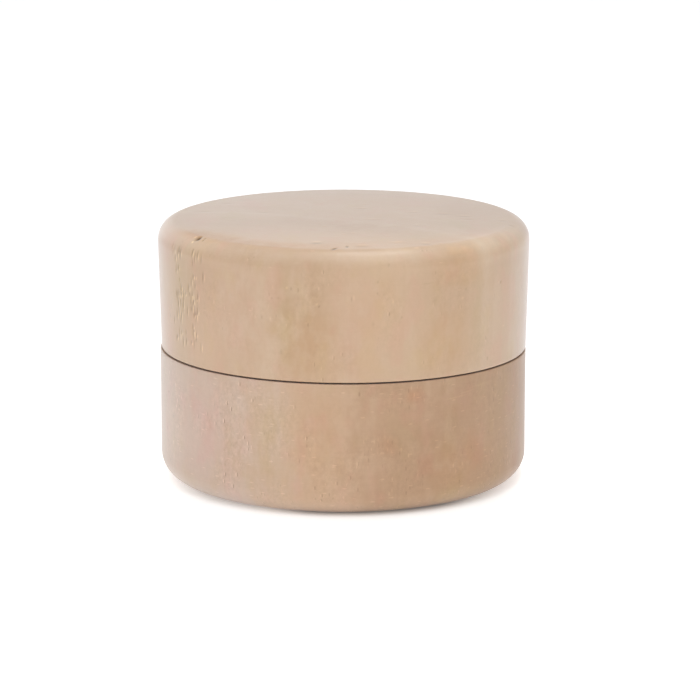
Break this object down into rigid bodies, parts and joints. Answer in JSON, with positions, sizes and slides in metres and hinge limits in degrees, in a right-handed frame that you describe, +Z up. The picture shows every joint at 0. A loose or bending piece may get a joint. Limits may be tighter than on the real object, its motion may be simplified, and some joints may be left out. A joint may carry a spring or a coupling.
{
  "type": "round wooden box",
  "caption": "Round turned wooden keepsake box: a hollow base with a raised collar, and a rounded cap that lifts straight off it.",
  "frame": {"origin": "centre of the flat underside that the box stands on", "axes": "+Z up along the turning axis, from the underside to the lid's top face; X and Y are any two directions across it"},
  "size_m": [0.05, 0.05, 0.035],
  "materials": {
    "base_wood": "bare, sanded, slightly reddish fine-pored wood with its grain upright",
    "lid_wood": "bare, sanded, pale fine-pored wood with its grain upright"
  },
  "bodies": {
    "base": {"base": "base_wood"},
    "lid": {"lid": "lid_wood"}
  },
  "joints": [
    {"name": "lid_lift", "type": "slide", "parent": "base", "child": "lid", "axis": [0, 0, 1], "range_m": [0, 0.04]}
  ]
}
